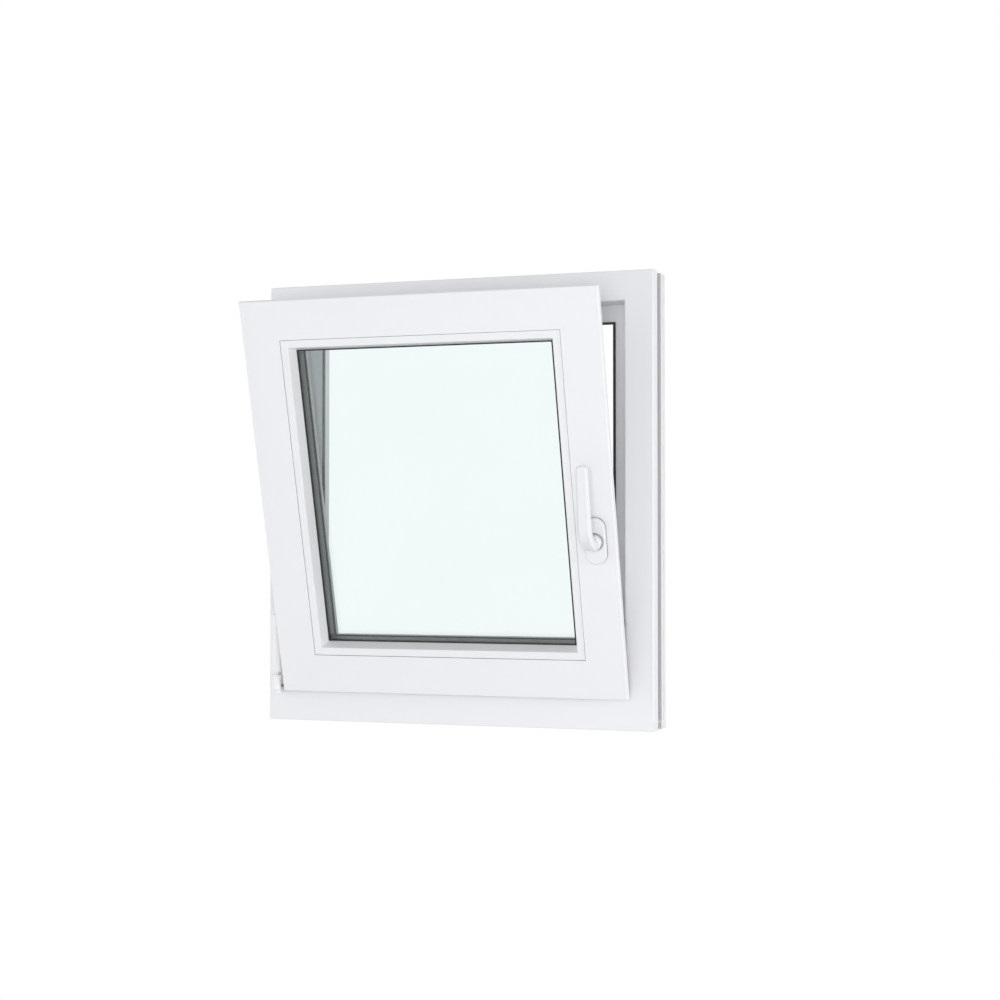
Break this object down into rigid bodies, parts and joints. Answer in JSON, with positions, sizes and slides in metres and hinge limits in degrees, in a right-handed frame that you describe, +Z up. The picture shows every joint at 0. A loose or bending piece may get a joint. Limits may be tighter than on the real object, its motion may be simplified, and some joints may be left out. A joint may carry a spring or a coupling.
{
  "type": "tilt and turn window",
  "caption": "White plastic window with one double glazed sash that tilts in at the top or turns in on side hinges, worked by a lever handle.",
  "frame": {"origin": "middle of the sill's underside, on the flat strip at its room side", "axes": "+X to the right as seen from the room, +Y to the outside, +Z up"},
  "size_m": [0.6, 0.244, 0.656],
  "materials": {
    "frame_plastic": "smooth white window plastic, half gloss",
    "sash_plastic": "smooth white window plastic, half gloss",
    "bead_plastic": "smooth white window plastic, half gloss",
    "cover_plastic": "white moulded caps",
    "seal_rubber": "black sealing rubber",
    "pane_glass": "clear float glass with a faint green tint",
    "spacer_metal": "grey spacer bar",
    "fitting_steel": "bright zinc plated fittings",
    "handle_enamel": "white powder coat"
  },
  "bodies": {
    "frame": {"frame_head": "frame_plastic", "frame_sill": "frame_plastic", "frame_jamb_left": "frame_plastic", "frame_jamb_right": "frame_plastic", "frame_seal": "seal_rubber", "drain_caps": "cover_plastic", "striker_plates": "fitting_steel", "corner_bearing": "fitting_steel", "corner_bearing_cover": "cover_plastic", "stay_bearing": "fitting_steel", "stay_bearing_cover": "cover_plastic"},
    "pivot": {"pivot_cup": "cover_plastic", "tilt_pin": "fitting_steel"},
    "sash": {"sash_top_rail": "sash_plastic", "sash_bottom_rail": "sash_plastic", "sash_stile_left": "sash_plastic", "sash_stile_right": "sash_plastic", "glazing_bead_top": "bead_plastic", "glazing_bead_bottom": "bead_plastic", "glazing_bead_left": "bead_plastic", "glazing_bead_right": "bead_plastic", "inner_pane": "pane_glass", "outer_pane": "pane_glass", "spacer_bar": "spacer_metal", "inner_glazing_gasket": "seal_rubber", "outer_glazing_gasket": "seal_rubber", "sash_seal": "seal_rubber", "fitting_faceplates": "fitting_steel", "locking_cams": "fitting_steel", "handle_rosette": "handle_enamel"},
    "handle": {"handle_lever": "handle_enamel"},
    "stay": {"stay_arm": "fitting_steel"}
  },
  "joints": [
    {"name": "sash_turn", "type": "hinge", "parent": "frame", "child": "pivot", "pos_m": [-0.2805, -0.026, 0.06], "axis": [0, 0, -1], "range_deg": [0, 90]},
    {"name": "sash_tilt", "type": "hinge", "parent": "pivot", "child": "sash", "pos_m": [-0.262, -0.026, 0.0525], "axis": [-1, 0, 0], "range_deg": [0, 15.2]},
    {"name": "handle_turn", "type": "hinge", "parent": "sash", "child": "handle", "pos_m": [0.2385, -0.09144, 0.27047], "axis": [0, -0.965, -0.2622], "range_deg": [0, 180]},
    {"name": "stay_swing", "type": "hinge", "parent": "pivot", "child": "stay", "pos_m": [-0.2805, -0.026, 0.6001], "axis": [0, -0.0979, 0.9952], "range_deg": [0, 26.58]}
  ],
  "couplings": [
    {"joint": "stay_swing", "follows": "sash_tilt", "ratio": 1.7483}
  ]
}
